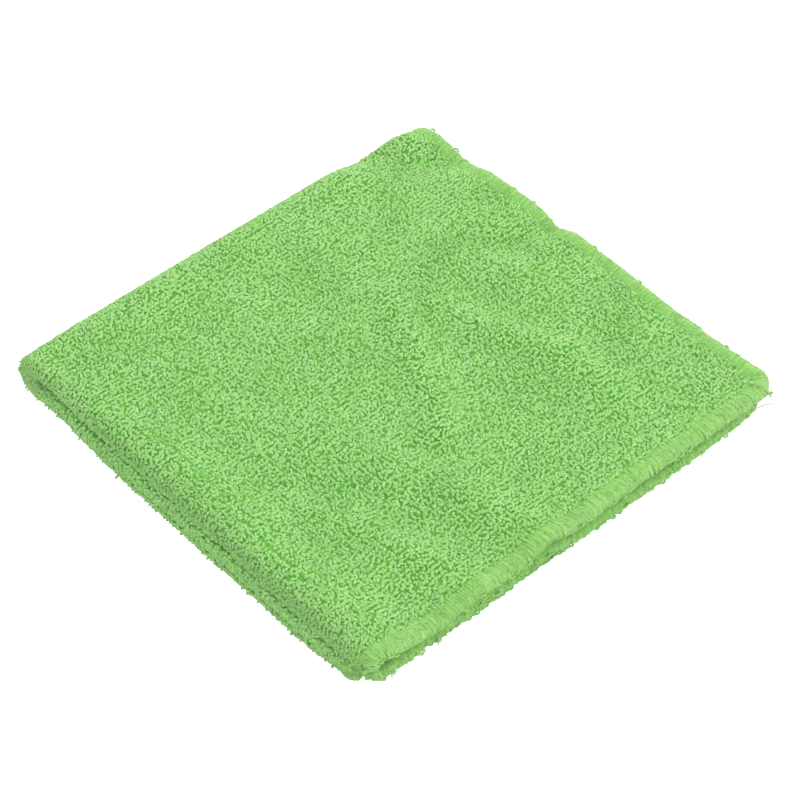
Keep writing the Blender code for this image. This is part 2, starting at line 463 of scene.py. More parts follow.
def stations(bend, layer, before=None, after=None):
    """Even places across the sheet as (turn, share), from one hem to the other.

    bend steps go round the fold and layer steps from it to each hem. Only the nearest
    before steps of the first side and after steps of the other are kept.
    """
    run = [k / layer for k in range(1, layer + 1)]
    fold = [(k / bend * 2 - 1, 0.0) for k in range(bend + 1)]
    return [(-1, t) for t in reversed(run[:before])] + fold + [(1, t) for t in run[:after]]


def folded_grid(seconds, firsts):
    """A bmesh grid laid through both folds, and each vertex's (second, first)."""
    columns, rows = len(seconds) - 1, len(firsts) - 1
    bm = bmesh.new()
    bmesh.ops.create_grid(bm, x_segments=columns, y_segments=rows, size=0.5)
    places = []
    for vert in bm.verts:
        second = seconds[round((vert.co.x + 0.5) * columns)]
        first = firsts[round((vert.co.y + 0.5) * rows)]
        vert.co = folded(second, first)
        places.append((second, first))
    bm.normal_update()
    return bm, places


# ---- meshes and layouts


def new_object(name, data):
    """An object for this mesh, light or camera, in the scene."""
    ob = bpy.data.objects.new(name, data)
    bpy.context.scene.collection.objects.link(ob)
    return ob


def mesh_of(name, bm):
    """This bmesh as a mesh."""
    mesh = bpy.data.meshes.new(name)
    bm.to_mesh(mesh)
    bm.free()
    return mesh


def finish(ob, material):
    """Gives the object its material, and lets it ride on the cloth's body."""
    ob.data.materials.clear()
    ob.data.materials.append(material)
    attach(ob, "root")
    return ob


def place(name, bm, material):
    """An object at the origin with this bmesh in metres."""
    bmesh.ops.scale(bm, vec=(MM, MM, MM), verts=bm.verts)
    return finish(new_object(name, mesh_of(name, bm)), material)


def apply_modifiers(ob):
    """Bakes the object's modifiers into its mesh."""
    graph = bpy.context.evaluated_depsgraph_get()
    mesh = bpy.data.meshes.new_from_object(ob.evaluated_get(graph))
    old, ob.data = ob.data, mesh
    ob.modifiers.clear()
    bpy.data.meshes.remove(old)
    mesh.name = ob.name


def tube(bm, path, side, width, thick, sides):
    """Adds a tube along path, flattened to width by thick, with U round it and V along it.

    Each point of the path is (place, swell): the tube is swell times as wide there.
    """
    if UV_MAP not in bm.loops.layers.uv:
        bm.loops.layers.uv.new(UV_MAP)
    steps = len(path) - 1
    grid = bmesh.ops.create_grid(bm, x_segments=sides, y_segments=steps, size=0.5, calc_uvs=True)
    faces = list({face for vert in grid["verts"] for face in vert.link_faces})
    for vert in grid["verts"]:
        turn = (vert.co.x + 0.5 + 0.5 / sides) * tau
        k = round((vert.co.y + 0.5) * steps)
        at, swell = path[k]
        ahead = (path[min(k + 1, steps)][0] - path[max(k - 1, 0)][0]).normalized()
        wide = (side - ahead * side.dot(ahead)).normalized()
        up = ahead.cross(wide)
        vert.co = at + (wide * cos(turn) * width + up * sin(turn) * thick) * swell / 2
    bmesh.ops.remove_doubles(bm, verts=grid["verts"], dist=0.001)
    bmesh.ops.recalc_face_normals(bm, faces=faces)


def yarn_loop(form, thick, sides, steps):
    """A loop of yarn on its two feet. Its top leans along +X."""
    span, rise, lean, turn, bow = form
    feet = Matrix.Rotation(radians(turn), 3, "Z")
    path = []
    for k in range(steps + 1):
        run = pi * k / steps
        up = sin(run)
        tall = up * (rise - thick / 2)
        at = feet @ Vector((-cos(run) * span / 2, bow * sin(2 * run), tall))
        at.x += lean * up**1.5
        path.append((at, 0.8 + 0.2 * up))
    bm = bmesh.new()
    tube(bm, path, feet @ Vector((0, 1, 0)), thick, thick, sides)
    return bm


def stitch(form, sewing, ground):
    """One overlock stitch round the edge of a hem: +X points out of the cloth.

    Its thread runs over the upper side, round the edge and back along the lower side.
    """
    slant, reach, swell, _share = form
    half, deep = ground.hem_thickness / 2, ground.hem_width
    over = half + sewing.lift
    upper_side = [
        (Vector((-deep, -slant, half - 0.25)), 0.7),
        (Vector((-deep * 0.55, 0.0, over * 1.04)), 1.0),
        (Vector((-1.4, slant, over * 0.95)), swell),
        (Vector((-0.4 + reach * 0.6, slant * 1.1, over * 0.62)), swell),
    ]
    lower_side = [(Vector((at.x, at.y, -at.z)), wide) for at, wide in reversed(upper_side)]
    path = upper_side + [(Vector((0.15 + reach, slant * 1.2, 0.0)), swell)] + lower_side
    bm = bmesh.new()
    tube(bm, path, Vector((0, 1, 0)), sewing.thread, sewing.thread * THREAD_FLATNESS, 4)
    return bm


# What a layout says about each of its places.
FIELDS = {
    "facing": "float_vector",
    "nap": "float_vector",
    "size": "float_vector",
    "tone": "float",
    "form": "int",
}


class Layout:
    """Places where copies of a few small forms stand, gathered before they are made."""

    def __init__(self, name):
        self.name = name
        self.bm = bmesh.new()
        layers = self.bm.verts.layers
        self.fields = [getattr(layers, kind).new(field) for field, kind in FIELDS.items()]

    def add(self, co, facing, nap, size, tone, form):
        """Adds a place. Its tone goes from 0 to 1, and its form is the form's number."""
        vert = self.bm.verts.new(co)
        column = min(int(max(tone, 0.0) * TONES), TONES - 1)
        for field, value in zip(self.fields, (facing, nap, size, column, form)):
            vert[field] = value

    def make(self, forms, material):
        """Stands a copy of one of the forms at each place, as one joined mesh."""
        made = new_object(self.name, mesh_of(self.name, self.bm))
        modifier = made.modifiers.new("Layout", "NODES")
        tree = modifier.node_group = layout_nodes()
        key = next(item.identifier for item in tree.interface.items_tree if item.name == "Forms")
        modifier[key] = forms
        apply_modifiers(made)
        for field in FIELDS:
            made.data.attributes.remove(made.data.attributes[field])
        made.data.transform(Matrix.Scale(MM, 4))
        return finish(made, material)


def form_set(name, meshes):
    """A collection of small forms that a layout picks from."""
    collection = bpy.data.collections.new(name)
    for k, bm in enumerate(meshes):
        mesh = mesh_of(f"{name}_{k:02d}", bm)
        mesh.shade_smooth()
        collection.objects.link(bpy.data.objects.new(mesh.name, mesh))
    return collection


def loop_set(name, forms, thick, sides, steps):
    """A set of yarn loops, for each of these forms."""
    return form_set(name, [yarn_loop(form, thick, sides, steps) for form in forms])


def drop_forms(collection):
    """Removes a set of forms once its copies are made."""
    for ob in list(collection.objects):
        bpy.data.objects.remove(ob)
    bpy.data.collections.remove(collection)


# ---- nodes


def socket(sockets, key):
    """The socket with this number, or the one in use that has this name."""
    if isinstance(key, int):
        return sockets[key]
    return next(s for s in sockets if s.name == key and s.enabled)


def feed(node, inputs):
    """Gives each input its value, or a link where the value is another node's output."""
    for key, value in inputs.items():
        target = socket(node.inputs, key)
        if isinstance(value, bpy.types.NodeSocket):
            node.id_data.links.new(value, target)
        else:
            target.default_value = value


def add_node(tree, kind, inputs=None, **settings):
    """A new node with these settings and inputs."""
    node = tree.nodes.new(kind)
    for name, value in settings.items():
        setattr(node, name, value)
    feed(node, inputs or {})
    return node


def output(tree, kind, inputs=None, name=None, **settings):
    """A new node's output with this name, or its first one in use."""
    sockets = add_node(tree, kind, inputs, **settings).outputs
    return next(s for s in sockets if s.enabled and name in (None, s.name))


def mixed(tree, share, first, second, **settings):
    """A mix of two colours."""
    inputs = {"Factor": share, "A": first, "B": second}
    return output(tree, "ShaderNodeMix", inputs, data_type="RGBA", **settings)


def new_group(name, kind, inputs, outputs):
    """A new node group with these sockets, and the outputs of its input node."""
    tree = bpy.data.node_groups.new(name, kind)
    for in_out, sockets in (("INPUT", inputs), ("OUTPUT", outputs)):
        for label, value in sockets.items():
            tree.interface.new_socket(label, in_out=in_out, socket_type=f"NodeSocket{value}")
    return tree, add_node(tree, "NodeGroupInput").outputs


def layout_nodes():
    """Geometry nodes: a form on each vertex, turned to its facing and nap, then realised."""
    name = "Layout on points"
    if name in bpy.data.node_groups:
        return bpy.data.node_groups[name]
    inputs = {"Geometry": "Geometry", "Forms": "Collection"}
    tree, given = new_group(name, "GeometryNodeTree", inputs, {"Geometry": "Geometry"})

    def named(field, kind="FLOAT_VECTOR"):
        return output(tree, "GeometryNodeInputNamedAttribute", {"Name": field}, data_type=kind)

    forms = {"Collection": given["Forms"], "Separate Children": True, "Reset Children": True}
    axes = {"Primary Axis": named("facing"), "Secondary Axis": named("nap")}
    turn = add_node(tree, "FunctionNodeAxesToRotation", primary_axis="Z", secondary_axis="X")
    feed(turn, axes)
    stand = {
        "Points": given["Geometry"],
        "Instance": output(tree, "GeometryNodeCollectionInfo", forms),
        "Pick Instance": True,
        "Instance Index": named("form", "INT"),
        "Rotation": turn.outputs["Rotation"],
        "Scale": named("size"),
    }
    copies = output(tree, "GeometryNodeInstanceOnPoints", stand)
    joined = output(tree, "GeometryNodeRealizeInstances", {"Geometry": copies})

    # Each copy's map moves to the column of its tone.
    column = output(tree, "ShaderNodeCombineXYZ", {"X": named("tone", "FLOAT")})
    shifted = {0: named(UV_MAP), 1: column}
    shifted = output(tree, "ShaderNodeVectorMath", shifted, operation="ADD")
    narrow = {0: shifted, 1: (1 / TONES, 1.0, 0.0)}
    narrow = output(tree, "ShaderNodeVectorMath", narrow, operation="MULTIPLY")
    store = add_node(tree, "GeometryNodeStoreNamedAttribute", data_type="FLOAT2", domain="CORNER")
    feed(store, {"Geometry": joined, "Name": UV_MAP, "Value": narrow})

    # What would reach below the surface it lies on is pressed flat there.
    at = output(tree, "GeometryNodeInputPosition")
    split = add_node(tree, "ShaderNodeSeparateXYZ", {"Vector": at}).outputs
    height = output(tree, "ShaderNodeMath", {0: split["Z"], 1: 0.02}, operation="MAXIMUM")
    pressed = {"X": split["X"], "Y": split["Y"], "Z": height}
    pressed = output(tree, "ShaderNodeCombineXYZ", pressed)
    moved = {"Geometry": store.outputs["Geometry"], "Position": pressed}
    add_node(tree, "NodeGroupOutput", {"Geometry": output(tree, "GeometryNodeSetPosition", moved)})
    return tree


# ---- materials


def yarn_tone_group():
    """Shader nodes: a yarn's colour and relief from its map's tone, turn and run."""
    name = "Yarn tone"
    if name in bpy.data.node_groups:
        return bpy.data.node_groups[name]
    inputs = {"Map": "Vector", "Root": "Color", "Dark": "Color", "Light": "Color"}
    inputs |= {"Twist": "Float", "Depth": "Float", "Lint": "Float"}
    outputs = {"Color": "Color", "Height": "Float"}
    tree, given = new_group(name, "ShaderNodeTree", inputs, outputs)

    def math(operation, *values):
        return output(tree, "ShaderNodeMath", dict(enumerate(values)), operation=operation)

    split = add_node(tree, "ShaderNodeSeparateXYZ", {"Vector": given["Map"]}).outputs
    column = math("MULTIPLY", split["X"], TONES)
    tone = math("DIVIDE", math("FLOOR", column), TONES - 1)
    # Painted shade: the root's colour stands in for the shade at a loop's feet, and fades up the
    # loop by DEPTH.
    rise = math("SINE", math("MULTIPLY", split["Y"], pi))
    out_of_root_shade = math("POWER", math("MAXIMUM", rise, 0.0), given["Depth"])
    body = mixed(tree, tone, given["Dark"], given["Light"])
    colour = mixed(tree, out_of_root_shade, given["Root"], body)
    turns = math("ADD", math("MULTIPLY", split["Y"], given["Twist"]), column)
    strand = math("ABSOLUTE", math("SINE", math("MULTIPLY", turns, tau)))
    at = output(tree, "ShaderNodeTexCoord", name="Object")
    lint = output(tree, "ShaderNodeTexNoise", {"Vector": at, "Scale": 1400.0, "Detail": 1.0})
    speck = math("MULTIPLY", math("SUBTRACT", lint, 0.5), given["Lint"])
    shade = math("ADD", math("ADD", 0.88, math("MULTIPLY", strand, 0.16)), speck)
    grey = output(tree, "ShaderNodeCombineXYZ", dict.fromkeys("XYZ", shade))
    streaked = mixed(tree, 1.0, colour, grey, blend_type="MULTIPLY")
    add_node(tree, "NodeGroupOutput", {"Color": streaked, "Height": math("ADD", strand, speck)})
    return tree


def cloth_shader(name, roughness, sheen, scatter):
    """A new material with a dull, slightly fuzzy surface, its nodes and its shader."""
    material = bpy.data.materials.new(name)
    material.use_nodes = True
    shader = material.node_tree.nodes["Principled BSDF"]
    surface = {
        "Roughness": roughness,
        "Specular IOR Level": 0.0,
        "Sheen Weight": sheen,
        "Sheen Roughness": 0.5,
        "Subsurface Weight": scatter,
        "Subsurface Radius": (0.9, 1.0, 0.7),
        "Subsurface Scale": 0.5 * MM,
    }
    feed(shader, surface)
    return material, material.node_tree, shader


def finish_shader(shader, colour, height, strength, distance):
    """Gives the shader its colour, and a relief from height."""
    relief = {"Height": height, "Strength": strength, "Distance": distance * MM}
    normal = output(shader.id_data, "ShaderNodeBump", relief)
    feed(shader, {"Base Color": colour, "Normal": normal})


def yarn_material(name, root, dark, light):
    """Yarn: painted shade at its root, one tone for each column of the map, twisted strands."""
    twist, depth, roughness, sheen, bump, lint = YARNS[name]
    material, tree, shader = cloth_shader(name, roughness, sheen, 0.6)
    inputs = {
        "Map": output(tree, "ShaderNodeUVMap", uv_map=UV_MAP),
        "Root": (*root, 1.0),
        "Dark": (*dark, 1.0),
        "Light": (*light, 1.0),
        "Twist": twist,
        "Depth": depth,
        "Lint": lint,
    }
    group = add_node(tree, "ShaderNodeGroup", node_tree=yarn_tone_group())
    feed(group, inputs)
    finish_shader(shader, group.outputs["Color"], group.outputs["Height"], bump, 0.05)
    return material


def ground_material(name, dark, light, sewn):
    """The knitted ground: short curled fibres with painted shade between them, and its sewn edge.
    """
    material, tree, shader = cloth_shader(name, 0.95, 0.1, 0.1)
    at = output(tree, "ShaderNodeTexCoord", name="Object")
    curls = {"Vector": at, "Scale": 1500.0, "Detail": 2.0, "Distortion": 1.2}
    curls = output(tree, "ShaderNodeTexNoise", curls)
    # Painted shade: the gaps between the curls take the darker colour, for the shade down in the
    # ground.
    shaded_gaps = {"Value": curls, "From Min": 0.42, "From Max": 0.54}
    shaded_gaps = output(tree, "ShaderNodeMapRange", shaded_gaps)
    knit = mixed(tree, shaded_gaps, (*dark, 1.0), (*light, 1.0))
    edge = output(tree, "ShaderNodeAttribute", name="Fac", attribute_name=SEWN)
    finish_shader(shader, mixed(tree, edge, knit, (*sewn, 1.0)), shaded_gaps, 0.8, 0.3)
    return material


# ---- settings


def Colour(name, what, *default):
    """A setting for the colour of something."""
    text = f"Colour of {what}"
    return FloatVectorProperty(
        name=name, description=text, subtype="COLOR", size=3, default=default
    )


def Millimetres(name, description, default, low, high):
    """A setting for a small length."""
    text = f"{description}, in millimetres"
    return FloatProperty(name=name, description=text, default=default, min=low, max=high)


def Angle(name, description, degrees):
    """A setting for an angle."""
    return FloatProperty(
        name=name, description=description, subtype="ANGLE", default=radians(degrees)
    )


def Seed(what, default):
    """A setting for the start of some random draws."""
    text = f"Start of the random draws that lay the {what}"
    return IntProperty(name="Seed", description=text, default=default, min=0)


class ClothColours(bpy.types.PropertyGroup):
    """Colours of the cloth's yarns."""

    # Painted shade: the root colour stands in for the shade down at the loops' feet.
    root: Colour("Painted root shade", "the pile where it leaves the ground", 0.20, 0.56, 0.088)
    dark: Colour("Darkest loop", "the darkest loops of the pile", 0.308, 0.65, 0.175)
    light: Colour("Lightest loop", "the lightest loops of the pile", 0.385, 0.715, 0.258)
    # Painted shade: the ground's dark colour stands in for the shade in the gaps between the
    # loops.
    ground: Colour("Ground", "the knitted ground under the pile", 0.115, 0.365, 0.05)
    sewing_dark: Colour("Sewing, dark", "the darkest sewing threads", 0.27, 0.555, 0.145)
    sewing_light: Colour("Sewing, light", "the lightest sewing threads", 0.32, 0.605, 0.185)
    thread: Colour("Loose thread", "the thread end at the open corner", 0.80, 0.83, 0.78)


class GroundSizes(bpy.types.PropertyGroup):
    """Sizes of the knitted ground."""

    thickness: Millimetres("Ground thickness", "Thickness without the pile", 2.0, 0.5, 3.0)
    hem_thickness: Millimetres("Hem thickness", "Thickness under the sewing", 3.0, 0.5, 3.4)
    hem_width: Millimetres("Hem width", "Width of the sewing along each edge", 5.0, 2.0, 10.0)


class PileSizes(bpy.types.PropertyGroup):
    """Sizes of the looped pile."""

    pitch_x: Millimetres("Wale pitch", "From one row of loops along Y to the next", 1.47, 1.0, 4.0)
    pitch_y: Millimetres("Loop pitch", "From one loop of a row to the next", 1.24, 1.0, 4.0)
    spread: Millimetres("Pair spread", "From the middle of a pair to its loops", 0.38, 0.0, 1.0)
    under_pitch: Millimetres("Hidden loop pitch", "From loop to loop underneath", 2.20, 1.0, 4.0)
    yarn: Millimetres("Yarn thickness", "Thickness of the pile yarn", 1.0, 0.2, 1.5)
    height: FloatProperty(
        name="Loop height",
        description="Height of a loop against its drawn form",
        subtype="FACTOR",
        default=1.0,
        min=0.3,
        max=2.0,
    )
    seed: Seed("loops", 7)


class SewingSizes(bpy.types.PropertyGroup):
    """Sizes of the overlock sewing."""

    pitch: Millimetres("Stitch pitch", "From one stitch to the next", 0.86, 0.5, 4.0)
    thread: Millimetres("Thread width", "Width of a thread as it lies", 1.45, 0.1, 3.0)
    lift: Millimetres("Thread lift", "From the hem to a thread's middle", 0.12, 0.0, 0.5)
    seed: Seed("stitches", 11)


class StageSettings(bpy.types.PropertyGroup):
    """The floor, light and camera."""

    azimuth: Angle("Camera azimuth", "Direction of the camera round the cloth", 48.17)
    elevation: Angle("Camera elevation", "Height of the camera above the horizon", 46.86)
    distance: FloatProperty(
        name="Camera distance",
        description="From the camera to the middle of the cloth",
        subtype="DISTANCE",
        unit="LENGTH",
        default=0.8408,
    )
    lens: Millimetres("Lens", "Focal length on a sensor 36 mm wide", 136.9, 1.0, 1000.0)
    aim: FloatVectorProperty(
        name="Aim",
        description="Point that the camera looks at",
        subtype="TRANSLATION",
        size=3,
        default=(0.00435, -0.00210, 0.0080),
    )
    floor: Colour("Floor", "the floor", 0.35, 0.35, 0.35)
    glow: FloatProperty(
        name="Floor glow",
        description="Light that the white floor gives off towards the cloth",
        default=0.25,
        min=0.0,
        max=2.0,
    )


# ---- operators


class TERRY_OT_ground(bpy.types.Operator):
    """Lays the knitted ground through both folds"""

    bl_idname = "terry.ground"
    bl_label = "Lay the ground"

    def execute(self, context):
        sizes, colours = context.scene.terry_ground, context.scene.terry_colours
        bm, places = folded_grid(*(stations(*steps) for steps in GROUND_STEPS))
        weight = bm.verts.layers.deform.verify()
        sewn = bm.verts.layers.float.new(SEWN)
        full = max(sizes.thickness, sizes.hem_thickness)
        for vert, (second, first) in zip(bm.verts, places):
            run = max(second[1], first[1])
            to_hem = (1 - run) * LAYER_RUN
            share = ease((to_hem - sizes.hem_width + HEM_EASE_UNDER) / HEM_EASE)
            here = sizes.hem_thickness + (sizes.thickness - sizes.hem_thickness) * share
            if run == 1:
                here = HEM_EDGE
            vert[weight][0] = here / full
            vert[sewn] = 1 - share
        # The ground's colours are painted shade: the ground colour in its gaps, the root's painted
        # shade on its curls.
        material = ground_material("ground", colours.ground, colours.root, colours.sewing_dark)
        cloth = place("cloth_ground", bm, material)
        group = cloth.vertex_groups.new(name="thickness")
        solid = cloth.modifiers.new("Thickness", "SOLIDIFY")
        solid.thickness = full * MM
        solid.offset = 0.0
        solid.use_even_offset = True
        solid.vertex_group = group.name
        edge = cloth.modifiers.new("Sewn edge", "BEVEL")
        edge.width = EDGE_ROUNDING * MM
        edge.segments = 2
        edge.limit_method = "ANGLE"
        edge.angle_limit = radians(50)
        apply_modifiers(cloth)
        cloth.vertex_groups.clear()
        cloth.data.shade_smooth()
        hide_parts("cloth")
        return {"FINISHED"}


def scattered(draw, spread, middle=(0.0, 0.0, 0.0)):
    """A random vector round the middle, spread this far along each axis."""
    return Vector([draw.gauss(mean, reach) for mean, reach in zip(middle, spread)])


def nap_direction(at, facing, draw):
    """Which way the pile leans here: out and down at the folds, in slow swirls elsewhere."""
    swirl = pi / 2 + noise.noise(at / SWIRL) * 2.0 + draw.gauss(0.0, 0.6)
    lean = Vector((cos(swirl), sin(swirl), 0.0)) * facing.z**2
    if at.y < FIRST_FOLD_SIDE:
        lean = lean * 0.3 + Vector((draw.gauss(0, 0.25), -1.0, -FOLD_DROOP))
    elif at.x < SECOND_FOLD_SIDE:
        lean = lean * 0.3 + Vector((-1.0, draw.gauss(0, 0.35), -FOLD_DROOP))
    across = lean - facing * lean.dot(facing)
    return across.normalized() if across.length > 1e-4 else Vector((1, 0, 0))


def course(at):
    """How full the knitting's courses are here, from -1 to 1: they run along X."""
    return noise.noise(Vector([place / size for place, size in zip(at, COURSE)]))


def patch_tone(at, draw):
    """A loop's tone: the courses, slow patches of the pile, and each loop by itself."""
    patch = 0.5 + 0.45 * course(at) + 0.35 * noise.noise(at / PATCH + Vector((9, 4, 2)))
    return 0.75 * patch + 0.25 * draw.random()


def region(side, second, first, x):
    """The piece of pile that this place on one side of the folded sheet belongs to."""
    if side == "under":
        return "pile_under"
    if first[0] < GROOVE_FROM[side]:
        return "pile_crease"
    if side == "lower":
        return "pile_first_fold_low"
    if first[0] < 1:
        return "pile_first_fold"
    if second[0] < 1:
        return "pile_second_fold"
    if x < TOP_A_END:
        return "pile_top_a"
    return "pile_top_b" if x < TOP_B_END else "pile_top_c"


class TERRY_OT_pile(bpy.types.Operator):
    """Stands the looped pile on the ground, wherever it can be seen"""

    bl_idname = "terry.pile"
    bl_label = "Grow the pile"

    def execute(self, context):
        scene = context.scene
        self.sizes, self.ground = scene.terry_pile, scene.terry_ground
        self.dice = Random(self.sizes.seed)
        self.parts = {}
        across, down, coarse = self.sizes.pitch_x, self.sizes.pitch_y, self.sizes.under_pitch
        second = round(SECOND_BEND / across), round(LAYER_RUN / across)
        first = round(FIRST_BEND / down), round(LAYER_RUN / down), round(GROOVE_RUN / down)
        self.sow("upper", stations(*second, 0), stations(*first))
        lower = stations(*second, None, 0)[: second[1] + 1]
        self.sow("lower", lower, stations(*first, 0))
        run = [k / round(LAYER_RUN / coarse) for k in range(1, round(LAYER_RUN / coarse) + 1)]
        self.sow("under", [(-1, t) for t in reversed(run)], [(1, t) for t in run])
        self.sow_between_hems(coarse * 1.2)

        colours, yarn = scene.terry_colours, self.sizes.yarn
        tones = colours.root, colours.dark, colours.light
        pile = yarn_material("pile yarn", *tones)
        # Painted shade: the loops in the slots between the hems take the darker ground and root
        # colours, for the shade in the slots.
        pressed = yarn_material("pressed pile yarn", colours.ground, *tones[:2])
        # Painted light: a low DEPTH leaves less of the root's painted shade on the loops in the
        # groove between the rolls, so the groove looks lighter than its shade.
        creased = yarn_material("creased pile yarn", *tones)
        standing = loop_set("loop", LOOPS, yarn, 3, 3)
        hanging = loop_set("hanging_loop", HANGING_LOOPS, yarn * 1.1, 4, 4)
        plain = loop_set("plain_loop", LOOPS, yarn * 1.4, 3, 3)
        dressed = {
            "pile_first_fold_low": (hanging, pile),
            "pile_crease": (hanging, creased),
            "pile_between": (plain, pressed),
            "pile_under": (plain, pile),
        }
        for name, layout in sorted(self.parts.items()):
            layout.make(*dressed.get(name, (standing, pile)))
        for forms in (standing, hanging, plain):
            drop_forms(forms)
        return {"FINISHED"}

    def sow(self, side, seconds, firsts):
        """Sows loops over a grid of the sheet, on the face that is outside in both folds."""
        bm, places = folded_grid(seconds, firsts)
        for vert, (second, first) in zip(bm.verts, places):
            at = vert.co
            to_x, to_y = (1 - second[1]) * LAYER_RUN, (1 - first[1]) * LAYER_RUN
            edge = self.ground.hem_width + self.dice.uniform(-UNEVEN_END, 0.0)
            edge -= OVER_FRONT * ease((FRONT[0] - at.y) / FRONT[1])
            if to_y < to_x and at.z > FOLDED_TOP:
                edge -= OVER_BACK
            if min(to_x, to_y) > edge:
                in_groove = ease(1 - abs(first[0] - GROOVE_TURN[0]) / GROOVE_TURN[1])
                in_groove *= ease((at.x - GROOVE[0]) / GROOVE[1])
                stray = STRAY_TURN[0] < first[0] < 1 and second[0] < STRAY_TURN[1]
                name = region(side, second, first, at.x)
                self.loop(name, at, vert.normal, in_groove, stray)
        bm.free()

    def sow_between_hems(self, pitch):
        """Fills the slots between the hems, as deep as they can be looked into."""
        for axis, depth in ((a, d) for a in "xy" for d in SLOT_DEPTHS):
            for name, spots in hem_lines(self.ground.hem_width + depth):
                if not name.endswith(axis):
                    continue
                for at, facing, _out in walk(spots, pitch):
                    for side in (1, -1):
                        self.loop("pile_between", at, facing * side)

    def loop(self, name, middle, facing, in_groove=0.0, stray=False):
        """Sows one loop, or a pair on top, on the face of the sheet that looks this way."""
        draw, sizes = self.dice, self.sizes
        jitter = scattered(draw, JITTER)
        climb = SKEW * middle.x / sizes.pitch_y + 0.5 * noise.noise(middle / 12.0)
        jitter.y += (climb % 1.0 - 0.5) * sizes.pitch_y * facing.z**2
        facing = facing.lerp(Vector((0, -1, 0)), 0.5 * in_groove).normalized()
        foot = self.ground.thickness / 2 - FOOT_DEPTH
        tall = sizes.height * (1 + COURSE_RISE * course(middle)) * (1 + GROOVE_RISE * in_groove)
        wide = 1.0
        if stray and draw.random() < STRAY_SHARE:
            tall, wide = tall * draw.uniform(*STRAY_RISE), wide * 0.5
        if name in ("pile_under", "pile_between"):
            tall *= PRESSED_RISE
        if name not in self.parts:
            self.parts[name] = Layout(name)
        aside = facing.cross(scattered(draw, (1, 1, 1))).normalized() * sizes.spread
        tone = patch_tone(middle, draw)
        for side in (-1, 1) if name in PAIRED else (0,):
            near = jitter + aside * side
            near -= facing * near.dot(facing)
            across = wide * draw.gauss(1.0, SIZE_SPREAD)
            nap = nap_direction(middle, facing, draw)
            size = (across, across, tall * draw.gauss(1.0, RISE_SPREAD))
            own_tone = tone + draw.uniform(-TONE_SPREAD, TONE_SPREAD)
            co = middle + facing * foot + near
            self.parts[name].add(co, facing, nap, size, own_tone, draw.randrange(len(LOOPS)))


def hem_lines(depth=0.0):
    """Each hem as (name, places): a place is (middle, facing, outward), depth inside it."""
    share = 1 - depth / LAYER_RUN
    shares = share, share - 0.01
    seconds, firsts = (
        [place for place in stations(*steps) if place[1] <= share] for steps in HEM_STEPS
    )
    for name, turn in (("upper_x", 1), ("lower_x", -1), ("outer_y", 1), ("inner_y", -1)):
        if name.endswith("x"):
            sense = 1
            points, inside = ([folded((turn, t), at) for at in firsts] for t in shares)
        else:
            sense = -1
            points, inside = ([folded(at, (turn, t)) for at in seconds] for t in shares)
        spots = []
        for k, (at, within) in enumerate(zip(points, inside)):
            ahead = points[min(k + 1, len(points) - 1)] - points[max(k - 1, 0)]
            ahead.normalize()
            inward = within - at
            facing = ahead.cross(inward).normalized() * sense
            spots.append((at, facing, (inward.dot(ahead) * ahead - inward).normalized()))
        yield name, spots


def walk(spots, pitch, reach=0.0):
    """The places on a line of (middle, facing, outward), in even steps of pitch.

    Round a bend the steps are even on its longer side, this far from the middle.
    """
    left = pitch / 2
    for (at, facing, out), (next_at, next_facing, next_out) in zip(spots, spots[1:]):
        turned = (next_facing - facing) * reach
        length = max((next_at - at + turned * side).length for side in (-1, 0, 1))
        while left < length:
            share = left / length
            yield (
                at.lerp(next_at, share),
                facing.lerp(next_facing, share).normalized(),
                out.lerp(next_out, share).normalized(),
            )
            left += pitch
        left -= length


def walk_hems(pitch):
    """The places along each hem as (name, middle, facing, outward), but for the open corner."""
    for name, spots in hem_lines():
        for at, facing, out in walk(spots, pitch):
            if min(at.x, at.y) <= OPEN_CORNER:
                yield name, at, facing, out


